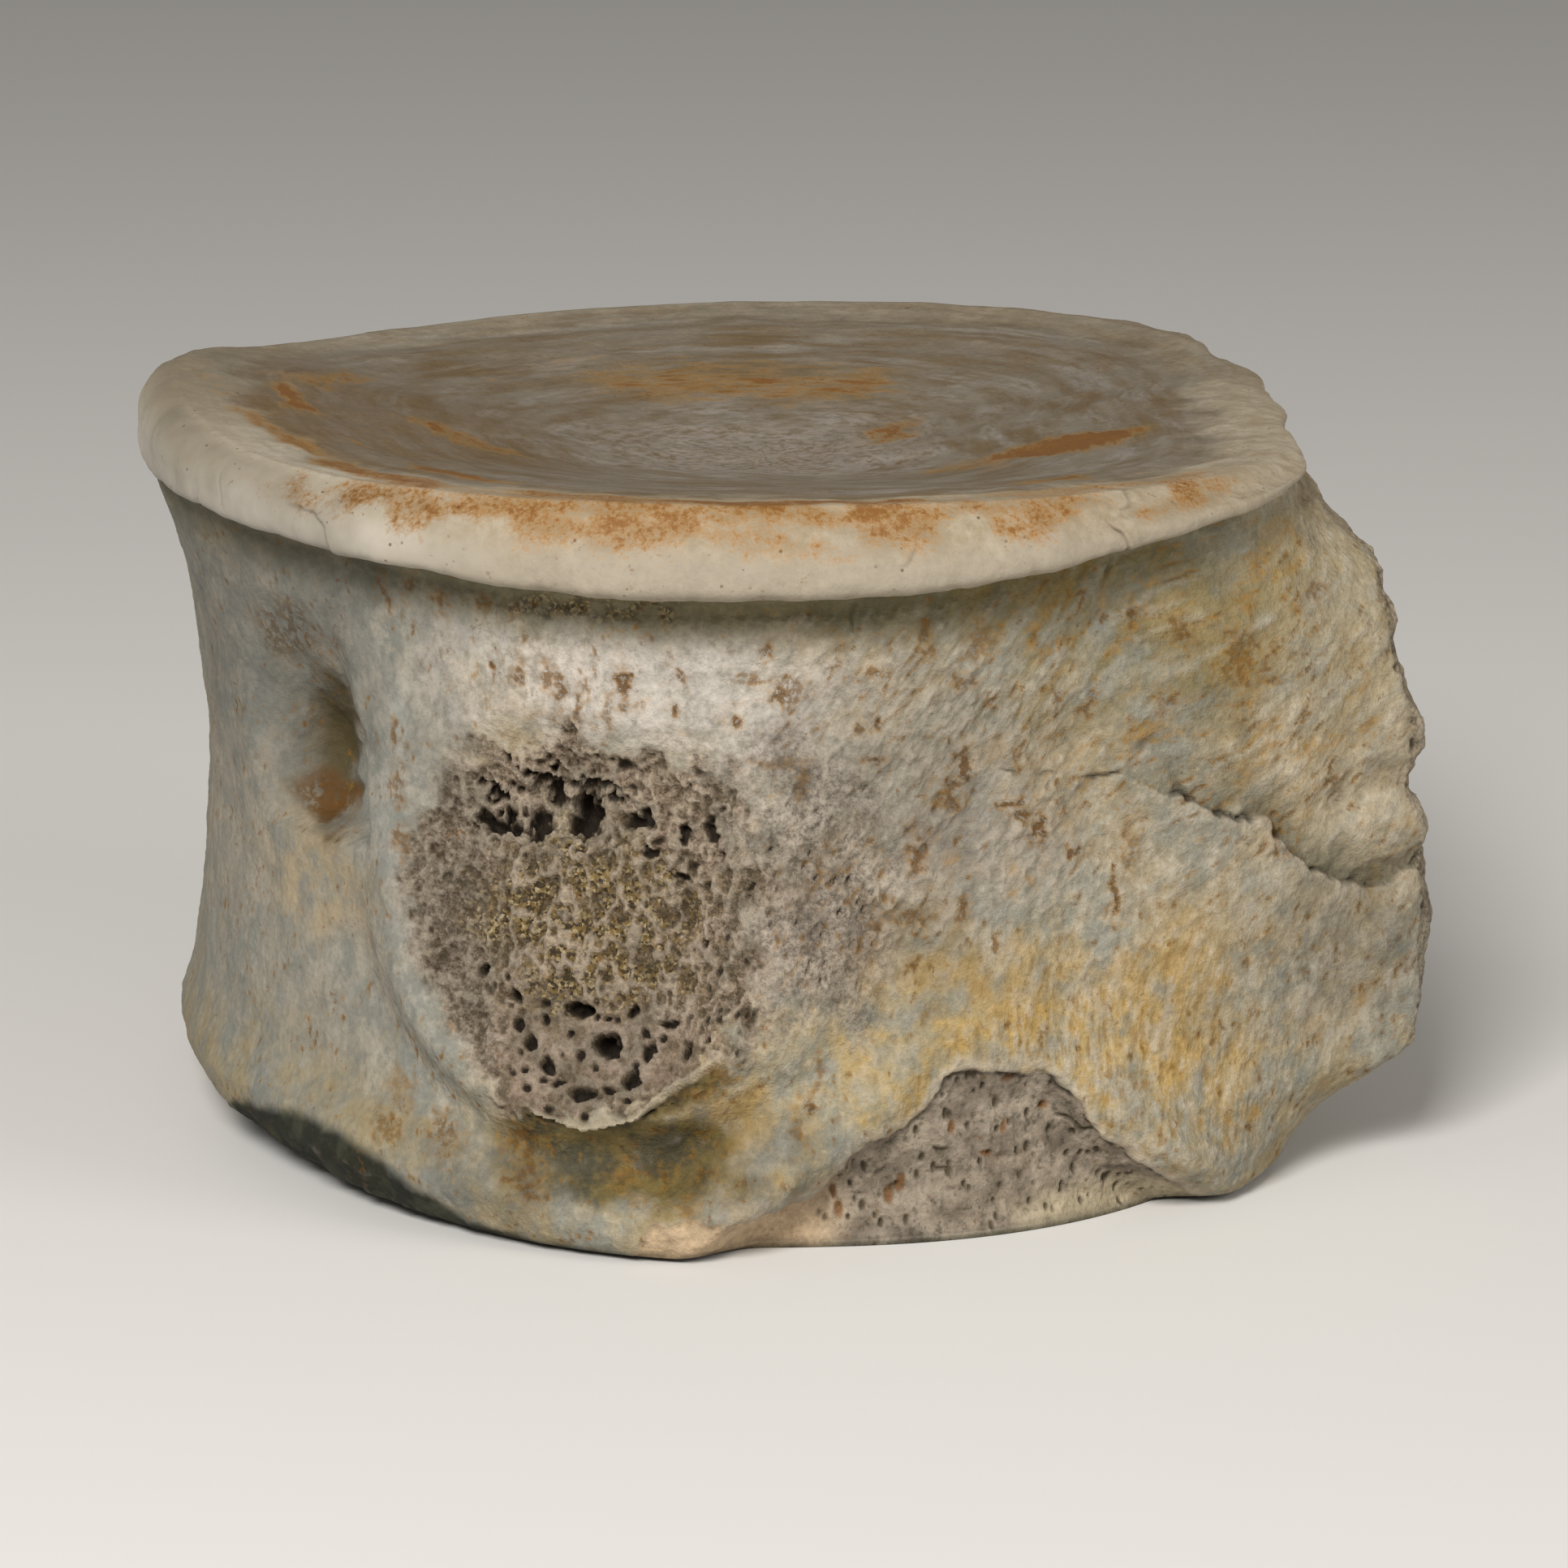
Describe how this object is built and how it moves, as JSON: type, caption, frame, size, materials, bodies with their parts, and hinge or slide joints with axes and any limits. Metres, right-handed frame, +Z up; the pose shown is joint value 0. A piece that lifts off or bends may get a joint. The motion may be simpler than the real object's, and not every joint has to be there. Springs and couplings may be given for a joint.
{
  "type": "fossil plesiosaur vertebra",
  "caption": "Life-size fossil neck vertebra of a plesiosaur, lying on its lower joint face, with dished faces, rib scar, vessel holes and broken arch feet",
  "frame": {"origin": "on the floor, under the middle of the bone's box; the bone lies on the rim of its lower joint face", "axes": "+X from the belly side of the bone to its back side, where the nerve canal is; +Y across the bone, away from the viewer; +Z up, along the bone's own axis"},
  "size_m": [0.0836, 0.092, 0.0489],
  "materials": {
    "bone": "matt cream and grey fossil bone with ochre and rust stains, and pinkish spongy bone where it is broken"
  },
  "bodies": {
    "root": {"vertebra": "bone"}
  },
  "joints": []
}
